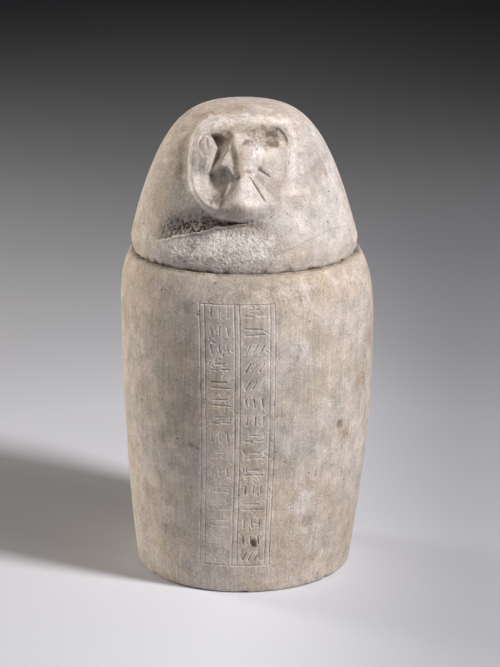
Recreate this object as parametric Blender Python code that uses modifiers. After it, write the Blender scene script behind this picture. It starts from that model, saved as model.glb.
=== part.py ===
"""Limestone canopic jar: a hollow jar with an incised front, and its falcon-headed lid.

The jar stands on its flat foot at the origin, its front faces -Y, and all lengths are in metres.
The lid rests on the rim, with its plug in the mouth.
"""

import math
import random

import bmesh
import bpy
import numpy as np
from mathutils import Vector

# The jar

JAR_HEIGHT = 0.2065
FOOT_RADIUS = 0.0684
FOOT_ROUNDING = 0.003
BELLY_RADIUS = 0.0801
BELLY_HEIGHT = 0.1594  # the widest ring
RIM_RADIUS = 0.0726
RIM_ROUNDING = 0.0012
SHOULDER_POWER = 3.5  # how late the shoulder turns in

# The hollow inside it

WALL = 0.026  # at the belly
FLOOR = 0.030
FLOOR_FILLET = 0.012
MOUTH_STEP = 0.004  # how far the mouth is narrower than the hollow
MOUTH_DEPTH = 0.018

# The lid

LID_HEIGHT = 0.0932
LID_OVERHANG = 0.0008  # of the dome's full curve over the jar's rim
LID_TUCK = 0.0036  # how far its lower edge turns in from that curve
LID_TUCK_HEIGHT = 0.0095
CROWN_RISE = 0.99  # powers of the dome's curve
CROWN_TURN = 3.48
PLUG_DEPTH = 0.012
PLUG_CLEARANCE = 0.0015
PLUG_CHAMFER = 0.002
SEAT_GAP = 0.0003

# Both were turned and finished by hand, so their axis strays a little sideways

FOOT_STRAY = -0.0024
FOOT_STRAY_REACH = 0.112  # height up to which the foot's stray is felt
LID_STRAY = -0.0023
LID_STRAY_REACH = 0.076

# The face, laid out on a plane that leans back

FACE_LEAN = math.radians(15)
FACE_HALF = 0.032  # half its width, and half its height
FACE_ACROSS = 0.0013  # of the face's middle from the lid's
FACE_BELOW_CROWN = 0.0450  # from the crown down to the face's middle, along the plane
FACE_EDGE = 0.0036  # width of the rounding around the face, at its left
FACE_PROUD = 0.0022  # of the face's middle over the dome
LEFT_CHEEK_PROUD = 0.0036  # more than that at its sides
RIGHT_CHEEK_PROUD = 0.0018
CHIN_PROUD = 0.0036  # and below
BROW_RELIEF = 0.0028
BEAK_RELIEF = 0.0042
RIDGE_RELIEF = 0.0021
LOWER_BILL_RELIEF = 0.0046
EYE_RELIEF = 0.0024
SOCKET_DEPTH = 0.0070
LOST_EYE_DEPTH = 0.0036
CHEEK_DEPTH = 0.0042
GAPE_DEPTH = 0.0009

# The face's lines, as shares of its half width and half height from its middle. The first four
# give a place across (a) for each height (b), the last two a height for each place across.

RIDGE_LINE = ((-0.15, 0.045), (0.17, 0.0), (0.45, -0.065), (0.80, -0.11))
FLANK_EDGE = ((0.02, -0.400), (0.185, -0.325), (0.34, -0.225), (0.58, -0.260), (0.78, -0.300))
LIP_LINE = ((-0.62, -0.300), (-0.48, -0.250), (-0.30, -0.185), (-0.18, -0.165), (0.00, -0.220))
EYE_EDGE = ((0.01, -0.600), (0.17, -0.550), (0.325, -0.495), (0.394, -0.470), (0.60, -0.570))
BROW_UNDER = ((-0.60, 0.66), (-0.50, 0.69), (-0.36, 0.67), (-0.28, 0.60), (-0.24, 0.55), (-0.12, 0.45))
BILL_END = ((-0.45, 0.05), (-0.19, -0.06), (-0.04, -0.22), (0.12, -0.13), (0.37, -0.03), (0.62, -0.20))

# The broken front of the lid

LEDGE_DROP = 0.0320  # from the face's middle down to the ledge
LEDGE_ACROSS = 0.010  # sideways place of its highest point
LEDGE_BEND = 0.008  # how rounded it is there
LEDGE_SLOPE = 0.22  # how steeply it falls away to both sides
LEDGE_EDGE = 0.0010
RECESS_DEPTH = 0.0052
RECESS_HEIGHT = 0.016
RECESS_FADE = 0.012
RECESS_LEFT = -0.054
RECESS_RIGHT = 0.016
RECESS_SIDE_FADE = 0.021
SPALL_DEPTH = 0.0044  # at the ledge, dying out to nothing at the lid's lower edge
SPALL_EDGE = 0.003
SPALL_LEFT = -0.046
SPALL_LEFT_FADE = 0.024
SPALL_RIGHT = 0.032

# Where the carving dies out: before the lid's lower edge, and round its sides

CARVING_ABOVE_EDGE = 0.001
CARVING_EDGE_FADE = 0.006
CARVING_SIDE_FADE = 0.020

# The incised front of the jar: a frame of six upright lines and two columns of strokes

PANEL_TOP = 0.1895
PANEL_BOTTOM = 0.0195
PANEL_MIDDLE = -0.0001  # sideways place of the middle pair of lines at the top
PANEL_SLANT = -0.0010  # and how far that pair has moved at the bottom
COLUMN_WIDTH = 0.0188
COLUMN_TAPER = 0.0015  # lost from each column towards the bottom
LINE_PAIR = 0.0031  # between the two lines of a pair
LINE_HALF_WIDTH = 0.0008
LINE_GAP = 0.0007  # left standing between the upright lines and the cross lines
STROKE_HALF_WIDTH = 0.0009
STROKE_ROWS = 15
STROKE_MARGIN = 0.0022  # from a column's line to the middle of the nearest stroke
ROW_GAP = 0.0031
STROKE_SEED = 7

# Two knocked-out pits in the jar's side

PIT_RADIUS = 0.0032
PIT_OUT = 0.0011  # from the jar's surface out to a pit's middle
PITS = ((51.4, 0.106), (8.3, 0.0345))  # degrees round from the front, height

# Facets

JAR_SEGMENTS = 56
JAR_ROWS = 16
LID_SEGMENTS = 200
LID_ROWS = 120
LID_CROWDING = 0.45  # how much closer the lid's facets stand at the front
LID_KEPT_SHARE = 0.078  # of the carved lid's facets, after thinning
PROFILE_SAMPLES = 3000
SHARP_ANGLE = math.radians(35)
WELD = 0.00001

STONE_COLOUR = (0.55, 0.48, 0.40, 1.0)
STONE_ROUGHNESS = 0.85

CAVITY_RADIUS = BELLY_RADIUS - WALL
MOUTH_RADIUS = CAVITY_RADIUS - MOUTH_STEP
PLUG_RADIUS = MOUTH_RADIUS - PLUG_CLEARANCE
LID_BOTTOM = JAR_HEIGHT + SEAT_GAP
LID_TOP = LID_BOTTOM + LID_HEIGHT
DOME_RADIUS = RIM_RADIUS + LID_OVERHANG
CROWN_UP = LID_TOP * math.cos(FACE_LEAN)
FACE_MIDDLE = CROWN_UP - FACE_BELOW_CROWN


def smooth(t):
    """Rises from 0 to 1 as t does, level at both ends."""
    t = np.clip(t, 0.0, 1.0)
    return t * t * (3.0 - 2.0 * t)


def bell(t):
    """1 at t = 0, falling smoothly to 0 at t = 1 and -1."""
    return smooth(1.0 - np.abs(t))


def axis_x(z):
    """Sideways place of the turned axis at height z."""
    low = FOOT_STRAY * smooth((FOOT_STRAY_REACH - z) / FOOT_STRAY_REACH)
    high = LID_STRAY * smooth((z - BELLY_HEIGHT) / LID_STRAY_REACH)
    return np.where(z < BELLY_HEIGHT, low, high)


def jar_radius(z):
    """The jar's outside: a long swelling side, then a shoulder that turns in towards the rim."""
    if z < BELLY_HEIGHT:
        below = (BELLY_HEIGHT - z) / BELLY_HEIGHT
        return BELLY_RADIUS - (BELLY_RADIUS - FOOT_RADIUS) * below**2
    above = (z - BELLY_HEIGHT) / (JAR_HEIGHT - BELLY_HEIGHT)
    return BELLY_RADIUS - (BELLY_RADIUS - RIM_RADIUS) * above**SHOULDER_POWER


def lid_radius(z):
    """The lid's outside: the dome of the headcloth, turned in at its lower edge."""
    height = z - LID_BOTTOM
    rise = min(1.0, max(0.0, height / LID_HEIGHT))
    tuck = LID_TUCK * max(0.0, 1.0 - height / LID_TUCK_HEIGHT) ** 1.3
    return DOME_RADIUS * (1.0 - rise**CROWN_RISE) ** (1.0 / CROWN_TURN) - tuck


def arc(centre, radius, start, end, steps):
    """Points (r, z) along an arc given in degrees."""
    turn = np.radians(np.linspace(start, end, steps + 1))
    return [(centre[0] + radius * math.cos(t), centre[1] + radius * math.sin(t)) for t in turn]


def evenly(points, count):
    """The same line with its points spaced evenly along it."""
    line = np.array(points)
    along = np.concatenate(([0.0], np.cumsum(np.hypot(*np.diff(line, axis=0).T))))
    places = np.linspace(0.0, along[-1], count)
    return list(zip(np.interp(places, along, line[:, 0]), np.interp(places, along, line[:, 1])))


def jar_profile():
    """Half of the jar's section: out and up inside the hollow, over the rim, down the side to the foot."""
    hollow_top = JAR_HEIGHT - MOUTH_DEPTH
    fillet = (CAVITY_RADIUS - FLOOR_FILLET, FLOOR + FLOOR_FILLET)
    inside = [(0.0, FLOOR)]
    inside += arc(fillet, FLOOR_FILLET, -90, 0, 3)
    inside += [(CAVITY_RADIUS, hollow_top - MOUTH_STEP), (MOUTH_RADIUS, hollow_top)]
    inside += [(MOUTH_RADIUS, JAR_HEIGHT)]
    rim = arc((RIM_RADIUS - RIM_ROUNDING, JAR_HEIGHT - RIM_ROUNDING), RIM_ROUNDING, 90, 30, 2)
    heights = np.linspace(JAR_HEIGHT - RIM_ROUNDING, FOOT_ROUNDING, PROFILE_SAMPLES)
    side = evenly([(jar_radius(z), z) for z in heights], JAR_ROWS)
    foot_radius = jar_radius(FOOT_ROUNDING) - FOOT_ROUNDING
    foot = arc((foot_radius, FOOT_ROUNDING), FOOT_ROUNDING, -30, -90, 2)
    return inside + rim + side[1:] + foot + [(0.0, 0.0)]


def lid_profile():
    """Half of the lid's section, from the crown down the dome, then in under it and down round the plug."""
    crown = np.linspace(0.0, 1.0, PROFILE_SAMPLES)
    heights = LID_TOP - LID_HEIGHT * crown**2
    side = evenly([(lid_radius(z), z) for z in heights], LID_ROWS)
    plug_bottom = LID_BOTTOM - PLUG_DEPTH
    plug = [(PLUG_RADIUS, LID_BOTTOM), (PLUG_RADIUS, plug_bottom + PLUG_CHAMFER)]
    plug += [(PLUG_RADIUS - PLUG_CHAMFER, plug_bottom), (0.0, plug_bottom)]
    return side + plug


def turned_mesh(name, profile, segments):
    """A mesh made by turning a profile once round the upright axis."""
    line = bpy.data.meshes.new(name)
    edges = [(i, i + 1) for i in range(len(profile) - 1)]
    line.from_pydata([(r, 0.0, z) for r, z in profile], edges, [])
    guide = bpy.data.objects.new(name, line)
    bpy.context.scene.collection.objects.link(guide)
    screw = guide.modifiers.new("Turn", "SCREW")
    screw.steps = segments
    screw.render_steps = segments
    screw.use_merge_vertices = True
    screw.merge_threshold = WELD
    graph = bpy.context.evaluated_depsgraph_get()
    mesh = bpy.data.meshes.new_from_object(guide.evaluated_get(graph))
    mesh.name = name
    bpy.data.objects.remove(guide)
    bpy.data.meshes.remove(line)
    return mesh


def vertices_of(mesh):
    """The mesh's vertices as an array, one row each."""
    flat = np.empty(len(mesh.vertices) * 3)
    mesh.vertices.foreach_get("co", flat)
    return flat.reshape(-1, 3)


def move_vertices(mesh, places):
    mesh.vertices.foreach_set("co", places.ravel())
    mesh.update()


def segment_distance(a, b, start, end):
    """How far each place (a, b) is from a straight line between two points."""
    run = (end[0] - start[0], end[1] - start[1])
    share = ((a - start[0]) * run[0] + (b - start[1]) * run[1]) / (run[0] ** 2 + run[1] ** 2)
    share = np.clip(share, 0.0, 1.0)
    return np.hypot(a - start[0] - share * run[0], b - start[1] - share * run[1])


def along(share, line):
    """The second coordinate of a line given by its points, at each first coordinate."""
    return np.interp(share, [point[0] for point in line], [point[1] for point in line])


def face_reach(a, b):
    """1 on the face's outline, less inside it: an arched brow, straight cheeks and a round chin."""
    arched = np.where(b > 0.0, b / (1.05 - 0.2 * np.minimum(a * a, 1.2)), b)
    power = 2.1 + 3.4 * smooth(b / 0.5)
    return (np.abs(a) ** power + np.abs(arched) ** power) ** (1.0 / power)


def edge_width(a, b):
    """How wide the face's rounded edge is: crisp on the left, softer on the right and below."""
    below = smooth((-0.1 - b) / 0.7) * smooth((a + 0.7) / 0.5)
    return FACE_EDGE * (1.0 + 0.1 * smooth(a / 0.5) + 1.0 * below + 1.0 * below * smooth(a / 0.4))


def beak_form(a, b):
    """The upper bill: flat on its left, soft on its right, with a rounded ridge and a broken tip."""
    middle = along(b, RIDGE_LINE)
    to_left = (middle - a) / (middle - along(b, FLANK_EDGE))
    to_right = (a - middle) / 0.55
    soft = 1.6 * smooth((b - 0.38) / 0.25)
    left = (1.0 - 0.40 * np.clip(to_left, 0.0, 1.0)) * smooth((1.06 + 0.5 * soft - to_left) / (0.16 + soft))
    right = (1.0 - 0.70 * np.clip(to_right, 0.0, 1.0)) * smooth((1.4 - to_right) / 0.9)
    roof = BEAK_RELIEF * np.where(a < middle, left, right)
    from_crest = a - middle - 0.05
    off_crest = from_crest / np.where(from_crest < 0.0, 0.13, 0.27)
    ridge = RIDGE_RELIEF * np.sqrt(np.clip(1.0 - off_crest**2, 0.0, 1.0)) * smooth((0.66 - b) / 0.40)
    end = smooth((b - along(a, BILL_END)) / (0.06 + 0.08 * smooth((a - 0.02) / 0.15)))
    return (roof * smooth((0.86 - b) / 0.26) + ridge) * end


def lower_bill_form(a, b):
    """The lower bill: a tongue whose left side falls away to the lip, and its right side less so."""
    down = np.clip((-0.16 - b) / 0.60, 0.0, 1.2)
    crest = 0.05
    to_right = (a - crest) / (0.17 + 0.40 * down)
    to_left = (crest - a) / (0.09 + 0.34 * down)
    right = (1.0 - 0.35 * np.clip(to_right, 0.0, 1.0) ** 2) * smooth((1.5 - to_right) / 0.5)
    left = 1.0 - np.clip(to_left, 0.0, 1.0) ** 1.8
    ends = smooth((-0.05 - b) / 0.05) * smooth((b + 0.95) / 0.30)
    return LOWER_BILL_RELIEF * np.where(a > crest, right, left) * ends


def eye_form(a, b):
    """The eye that is left: a leaf with a corner on its right and a slit, over its tapering tear."""
    right = smooth((along(b, EYE_EDGE) - a) / 0.05)
    tall = np.where(b > 0.425, 0.205, 0.205 + 0.17 * smooth((-0.52 - a) / 0.12))
    oval = np.hypot(np.maximum(a + 0.655, 0.25 * (a + 0.655)) / 0.140, (b - 0.425) / tall)
    soft = 0.20 + 0.80 * np.maximum(smooth((-0.66 - a) / 0.08), smooth((0.32 - b) / 0.20))
    plate = right * smooth((1.0 + 0.5 * soft - oval) / soft)
    blend = 0.16 + 0.5 * smooth((-0.55 - a) / 0.25)
    tear = right * smooth((b - 0.04) / blend + 0.5) * smooth((0.75 - b) / 0.20)
    slit = 0.30 * bell(segment_distance(a, b, (-0.655, 0.58), (-0.630, 0.36)) / 0.06)
    return EYE_RELIEF * (np.maximum(plate, 0.40 * tear) - slit)


def sunk_form(a, b):
    """What is cut in: the socket, the lost eye, both cheeks, the gape and the lower bill's edge."""
    from_eye = smooth((a - along(b, EYE_EDGE)) / 0.09)
    from_brow = smooth((along(a, BROW_UNDER) - b) / 0.07)
    from_flank = smooth((along(b, FLANK_EDGE) - a) / 0.13)
    socket = SOCKET_DEPTH * from_eye * from_brow * from_flank * smooth((b + 0.22) / 0.48)
    lost = smooth((1.0 - np.hypot((a - 0.60) / 0.44, (b - 0.63) / 0.27)) / 0.45)
    lost = LOST_EYE_DEPTH * (0.7 * lost + 0.6 * bell(np.hypot((a - 0.55) / 0.20, (b - 0.63) / 0.20)))
    from_lip = along(b, LIP_LINE) - a
    wide = smooth((-0.50 - a) / 0.20)
    upright = smooth((0.35 * wide - b) / (0.17 + 0.8 * wide)) * smooth((b + 0.95) / 0.45)
    hollow = 1.4 * np.sin(0.5 * math.pi * np.clip(from_lip / 0.30, 0.0, 1.0)) * upright
    hollow = hollow * smooth((0.97 - face_reach(a, b)) / 0.48)
    right = 0.75 * smooth((0.97 - a) / 0.55) * smooth((a - 0.05) / 0.25) * smooth((0.30 - b) / 0.35)
    right = right * smooth((b + 0.90) / 0.35)
    gape = bell(segment_distance(a, b, (-0.56, -0.11), (-0.25, 0.01)) / 0.06)
    gape = gape + bell(segment_distance(a, b, (0.37, 0.00), (0.55, -0.12)) / 0.06)
    bill_edge = bell(segment_distance(a, b, (0.195, -0.17), (0.48, -0.59)) / 0.06)
    return socket + lost + CHEEK_DEPTH * (hollow + right) + GAPE_DEPTH * (gape + 1.5 * bill_edge)


def face_relief(a, b):
    """How far the face stands out of the dome, looking straight at its leaning plane."""
    reach = face_reach(a, b)
    rounding = np.clip((1.0 - reach) * FACE_HALF / edge_width(a, b), 0.0, 1.0)
    inside = 1.0 - (1.0 - rounding) ** 1.8
    cheek = np.where(a < 0.0, LEFT_CHEEK_PROUD, RIGHT_CHEEK_PROUD) * np.minimum(a * a, 1.0)
    proud = FACE_PROUD + cheek + CHIN_PROUD * smooth((-0.1 - b) / 0.8) * smooth((0.95 - a) / 0.8)
    brow = BROW_RELIEF * bell((b - 0.86 + 0.12 * a * a) / 0.24)
    deep = smooth((0.95 - reach) / 0.08)
    ground = proud + brow - sunk_form(a, b) * deep
    raised = np.maximum(beak_form(a, b), lower_bill_form(a, b))
    return (ground + np.maximum(raised * deep, eye_form(a, b))) * inside


def broken_depth(across, up):
    """What has flaked off the lid's lower front: a recess, and a spall with the drop below its ledge."""
    aside = np.hypot(across - LEDGE_ACROSS, LEDGE_BEND) - LEDGE_BEND
    over = up - (FACE_MIDDLE - LEDGE_DROP - LEDGE_SLOPE * aside)
    upright = smooth(over / LEDGE_EDGE + 0.5) * smooth((RECESS_HEIGHT - over) / RECESS_FADE)
    left = smooth((across - RECESS_LEFT) / RECESS_SIDE_FADE)
    right = smooth((RECESS_RIGHT - across) / RECESS_SIDE_FADE)
    below = smooth(0.33 - over / (SPALL_EDGE * (1.0 + 3.0 * smooth((across - 0.004) / 0.02))))
    side = np.minimum((across - SPALL_LEFT) / SPALL_LEFT_FADE, 1.0 - across / SPALL_RIGHT)
    spall = SPALL_DEPTH * below * np.clip(side, 0.0, 1.0)
    return RECESS_DEPTH * upright * left * right, spall, np.maximum(-over, 0.0)


def carve_lid(places):
    """The lid's vertices crowded towards the front, then moved out and in to carve the face."""
    x, y, z = places.T
    turn = np.arctan2(x, -y)
    turn = turn - LID_CROWDING * np.sin(turn)
    radius = np.hypot(x, y)
    x, y = radius * np.sin(turn), -radius * np.cos(turn)
    up = z * math.cos(FACE_LEAN) + y * math.sin(FACE_LEAN)
    facing = smooth(-y / CARVING_SIDE_FADE)
    facing = facing * smooth((z - LID_BOTTOM - CARVING_ABOVE_EDGE) / CARVING_EDGE_FADE)
    a, b = (x - FACE_ACROSS) / FACE_HALF, (up - FACE_MIDDLE) / FACE_HALF
    recess, spall, drop = broken_depth(x, up)
    recess = recess * smooth((face_reach(a, b) - 0.94) / 0.10)
    rise = np.maximum(z - LID_BOTTOM, 0.0) * math.cos(FACE_LEAN)
    spall = spall * rise / np.maximum(rise + drop, WELD)
    out = (face_relief(a, b) - recess - spall) * facing
    y = y - out * math.cos(FACE_LEAN)
    z = z + out * math.sin(FACE_LEAN)
    return np.stack([x + axis_x(z), y, z], axis=1)


def on_jar(across, z):
    """The point on the jar's front that lies across from its middle line, at height z."""
    radius = jar_radius(z)
    turn = across / radius
    return Vector((radius * math.sin(turn) + float(axis_x(z)), -radius * math.cos(turn), z))


def panel_share(z):
    """0 at the top of the incised panel, 1 at its bottom."""
    return (PANEL_TOP - z) / (PANEL_TOP - PANEL_BOTTOM)


def column_edges(side, z):
    """Inner and outer edge of the left (-1) or right (1) column at height z."""
    middle = PANEL_MIDDLE + PANEL_SLANT * panel_share(z)
    inner = middle + side * LINE_PAIR / 2
    return inner, inner + side * (COLUMN_WIDTH - COLUMN_TAPER * panel_share(z))


def frame_lines():
    """The frame's lines as lists of (across, height): three upright pairs, then the top and the bottom."""
    short = LINE_HALF_WIDTH + LINE_GAP
    heights = np.linspace(PANEL_TOP - short, PANEL_BOTTOM + short, 12)
    lines = []
    for side in (-1, 1):
        lines.append([(column_edges(side, z)[0], z) for z in heights])
        for beyond in (0.0, LINE_PAIR):
            lines.append([(column_edges(side, z)[1] + side * beyond, z) for z in heights])
    for z in (PANEL_TOP, PANEL_BOTTOM):
        left = column_edges(-1, z)[1] - LINE_PAIR
        right = column_edges(1, z)[1] + LINE_PAIR
        lines.append([(x, z) for x in np.linspace(left, right, 6)])
    return lines


def row_strokes(kind, chance):
    """The strokes of one row, as pairs of points in a cell that runs from 0 to 1 both ways."""
    tilt = chance.uniform(-0.06, 0.06)
    if kind == "bars":
        return [((0.06, 0.28 + tilt), (0.94, 0.28)), ((0.06, 0.72), (0.80, 0.72 + tilt))]
    if kind == "ticks":
        return [((x, 0.18), (x + tilt, 0.82)) for x in (0.14, 0.50, 0.86)]
    if kind == "slants":
        return [((x, 0.20), (x + 0.20, 0.80)) for x in (0.08, 0.38, 0.68)]
    low = [((0.06, 0.30), (0.38, 0.30 + tilt)), ((0.58, 0.34), (0.92, 0.34))]
    return low + [((0.28, 0.74), (0.70, 0.74 - tilt))]


def stroke_lines():
    """Both columns' rows of plain strokes, which spell nothing, as lists of (across, height)."""
    chance = random.Random(STROKE_SEED)
    kinds = ("bars", "ticks", "slants", "dashes")
    pitch = (PANEL_TOP - PANEL_BOTTOM) / STROKE_ROWS
    lines = []
    for side in (-1, 1):
        for row in range(STROKE_ROWS):
            low = PANEL_BOTTOM + row * pitch + STROKE_MARGIN
            high = low + pitch - ROW_GAP
            for start, end in row_strokes(chance.choice(kinds), chance):
                line = []
                for across, up in (start, end):
                    z = low + (high - low) * up
                    edges = sorted(column_edges(side, z))
                    left, right = edges[0] + STROKE_MARGIN, edges[1] - STROKE_MARGIN
                    line.append((left + (right - left) * across, z))
                lines.append(line)
    return lines


def groove_cutter(name, lines, half_width, collection):
    """One cutter with a thin four-sided rod along each line, half sunk in the jar's front."""
    curve = bpy.data.curves.new(name, "CURVE")
    curve.dimensions = "3D"
    curve.bevel_depth = half_width
    curve.bevel_resolution = 0
    curve.use_fill_caps = True
    for line in lines:
        spline = curve.splines.new("POLY")
        spline.points.add(len(line) - 1)
        for point, (across, z) in zip(spline.points, line):
            point.co = (*on_jar(across, z), 1.0)
    guide = bpy.data.objects.new(name, curve)
    collection.objects.link(guide)
    graph = bpy.context.evaluated_depsgraph_get()
    mesh = bpy.data.meshes.new_from_object(guide.evaluated_get(graph))
    bpy.data.objects.remove(guide)
    bpy.data.curves.remove(curve)
    return hidden_cutter(name, mesh, collection)


def pit_cutter(name, collection):
    """One cutter with a rough ball for each pit, a third of its width sunk in the jar's side."""
    form = bmesh.new()
    for turn, z in PITS:
        ball = bmesh.ops.create_icosphere(form, subdivisions=1, radius=PIT_RADIUS)
        place = on_jar(math.radians(turn) * jar_radius(z), z)
        out = Vector((place.x, place.y, 0.0)).normalized()
        bmesh.ops.translate(form, verts=ball["verts"], vec=place + out * PIT_OUT)
    mesh = bpy.data.meshes.new(name)
    form.to_mesh(mesh)
    form.free()
    return hidden_cutter(name, mesh, collection)


def hidden_cutter(name, mesh, collection):
    """An object for a cutter's mesh, with its seams welded, drawn as wire and left out of renders."""
    form = bmesh.new()
    form.from_mesh(mesh)
    bmesh.ops.remove_doubles(form, verts=form.verts, dist=WELD)
    bmesh.ops.recalc_face_normals(form, faces=form.faces)
    form.to_mesh(mesh)
    form.free()
    cutter = bpy.data.objects.new(name, mesh)
    cutter.display_type = "WIRE"
    cutter.hide_render = True
    collection.objects.link(cutter)
    return cutter


def stone(name):
    """Pale, dull limestone."""
    material = bpy.data.materials.new(name)
    material.use_nodes = True
    shader = material.node_tree.nodes["Principled BSDF"]
    shader.inputs["Base Color"].default_value = STONE_COLOUR
    shader.inputs["Roughness"].default_value = STONE_ROUGHNESS
    shader.inputs["Metallic"].default_value = 0.0
    return material


def finished(name, mesh, collection):
    """The named piece made from a mesh, in its own stone, with its round sides shaded smooth."""
    mesh.shade_smooth()
    mesh.set_sharp_from_angle(angle=SHARP_ANGLE)
    mesh.materials.append(stone(name + " stone"))
    piece = bpy.data.objects.new(name, mesh)
    collection.objects.link(piece)
    return piece


def cut(piece, cutter):
    """Takes a cutter's shapes out of a piece."""
    boolean = piece.modifiers.new(cutter.name, "BOOLEAN")
    boolean.operation = "DIFFERENCE"
    boolean.solver = "EXACT"
    boolean.use_self = True
    boolean.object = cutter


def make_jar(parts, cutters):
    mesh = turned_mesh("jar", jar_profile(), JAR_SEGMENTS)
    places = vertices_of(mesh)
    places[:, 0] += axis_x(places[:, 2])
    move_vertices(mesh, places)
    jar = finished("jar", mesh, parts)
    cut(jar, groove_cutter("frame lines", frame_lines(), LINE_HALF_WIDTH, cutters))
    cut(jar, groove_cutter("strokes", stroke_lines(), STROKE_HALF_WIDTH, cutters))
    cut(jar, pit_cutter("pits", cutters))


def make_lid(parts):
    mesh = turned_mesh("lid", lid_profile(), LID_SEGMENTS)
    move_vertices(mesh, carve_lid(vertices_of(mesh)))
    lid = finished("lid", mesh, parts)
    thin = lid.modifiers.new("Fewer facets", "DECIMATE")
    thin.ratio = LID_KEPT_SHARE
    thin.use_collapse_triangulate = True


def main():
    for old in list(bpy.data.objects):
        bpy.data.objects.remove(old)
    parts = bpy.data.collections.new("canopic jar")
    cutters = bpy.data.collections.new("cutters")
    for collection in (parts, cutters):
        bpy.context.scene.collection.children.link(collection)
    make_jar(parts, cutters)
    make_lid(parts)


main()
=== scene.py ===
import math
import random

import bmesh
import bpy
import numpy as np
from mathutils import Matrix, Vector, noise


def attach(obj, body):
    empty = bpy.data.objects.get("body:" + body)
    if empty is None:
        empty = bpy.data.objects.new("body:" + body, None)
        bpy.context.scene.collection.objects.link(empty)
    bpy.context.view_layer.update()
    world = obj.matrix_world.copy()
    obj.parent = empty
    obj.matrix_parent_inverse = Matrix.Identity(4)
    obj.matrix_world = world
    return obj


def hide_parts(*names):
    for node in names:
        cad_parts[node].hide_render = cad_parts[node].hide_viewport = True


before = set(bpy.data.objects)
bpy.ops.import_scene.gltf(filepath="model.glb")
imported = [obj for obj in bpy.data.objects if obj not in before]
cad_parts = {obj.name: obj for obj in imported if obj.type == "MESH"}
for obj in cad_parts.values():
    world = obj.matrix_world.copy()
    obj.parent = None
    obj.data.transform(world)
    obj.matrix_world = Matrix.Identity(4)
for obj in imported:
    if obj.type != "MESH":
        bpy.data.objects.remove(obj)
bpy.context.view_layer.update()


# The jar: one block of pale limestone, its side swelling up to a shoulder below a plain rim,
# hollowed inside and rubbed down by hand. Its front gets a finer net for the cuts.

JAR_HEIGHT = 0.2065
FOOT_RADIUS = 0.0684
FOOT_ROUNDING = 0.003
BELLY_RADIUS = 0.0801
BELLY_HEIGHT = 0.1594
RIM_RADIUS = 0.0726
RIM_ROUNDING = 0.0012
SHOULDER_POWER = 3.5
CAVITY_RADIUS = 0.0541
MOUTH_RADIUS = 0.0501
FLOOR = 0.030
FLOOR_FILLET = 0.012
MOUTH_DEPTH = 0.018
FOOT_STRAY = -0.0024  # how far the turned axis has strayed sideways at the foot
FOOT_STRAY_REACH = 0.112
LID_STRAY = -0.0023  # and at the crown of the lid
LID_STRAY_REACH = 0.076
JAR_SEGMENTS = 240
JAR_ROWS = 90
FRONT_HALF = 0.0255  # the part of the front with the finer net
FRONT_BOTTOM = 0.016
FRONT_TOP = 0.193
FRONT_Y = -0.06
FRONT_CUTS = 3
WELD = 0.00001


def smooth(t):
    """Rises from 0 to 1 as t does, level at both ends."""
    t = np.clip(t, 0.0, 1.0)
    return t * t * (3.0 - 2.0 * t)


def bell(t):
    """1 at t = 0, falling smoothly to 0 at t = 1 and -1."""
    return smooth(1.0 - np.abs(t))


def axis_x(z):
    """Sideways place of the turned axis at height z."""
    low = FOOT_STRAY * smooth((FOOT_STRAY_REACH - z) / FOOT_STRAY_REACH)
    high = LID_STRAY * smooth((z - BELLY_HEIGHT) / LID_STRAY_REACH)
    return np.where(z < BELLY_HEIGHT, low, high)


def jar_radius(z):
    """The jar's outside at height z."""
    below = np.clip((BELLY_HEIGHT - z) / BELLY_HEIGHT, 0.0, 1.0)
    above = np.clip((z - BELLY_HEIGHT) / (JAR_HEIGHT - BELLY_HEIGHT), 0.0, 1.0)
    side = (BELLY_RADIUS - FOOT_RADIUS) * below**2
    return BELLY_RADIUS - side - (BELLY_RADIUS - RIM_RADIUS) * above**SHOULDER_POWER


def arc(centre, radius, start, end, steps):
    """Points (r, z) along an arc given in degrees."""
    turn = np.radians(np.linspace(start, end, steps + 1))
    return [(centre[0] + radius * math.cos(t), centre[1] + radius * math.sin(t)) for t in turn]


def evenly(points, count):
    """The same line with its points spaced evenly along it."""
    line = np.array(points)
    along = np.concatenate(([0.0], np.cumsum(np.hypot(*np.diff(line, axis=0).T))))
    places = np.linspace(0.0, along[-1], count)
    return list(zip(np.interp(places, along, line[:, 0]), np.interp(places, along, line[:, 1])))


def turned(profile, segments):
    """A closed form made by spinning a profile once round the upright axis."""
    form = bmesh.new()
    points = [form.verts.new((r, 0.0, z)) for r, z in profile]
    edges = [form.edges.new(pair) for pair in zip(points, points[1:])]
    bmesh.ops.spin(form, geom=points + edges, cent=(0, 0, 0), axis=(0, 0, 1), dvec=(0, 0, 0),
                   angle=math.tau, steps=segments, use_merge=True, use_duplicate=False)
    bmesh.ops.remove_doubles(form, verts=form.verts, dist=WELD)
    bmesh.ops.recalc_face_normals(form, faces=form.faces)
    return form


def refine(form, cuts, chosen):
    """Splits each chosen face into a finer grid."""
    edges = list({edge for face in chosen for edge in face.edges})
    bmesh.ops.subdivide_edges(form, edges=edges, cuts=cuts, use_grid_fill=True)


def faces_where(form, wanted):
    """The form's faces whose middles are wanted."""
    return [face for face in form.faces if wanted(face.calc_center_median())]


def places_of(form):
    return np.array([vert.co for vert in form.verts])


def move_to(form, places):
    for vert, place in zip(form.verts, places):
        vert.co = place


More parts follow.
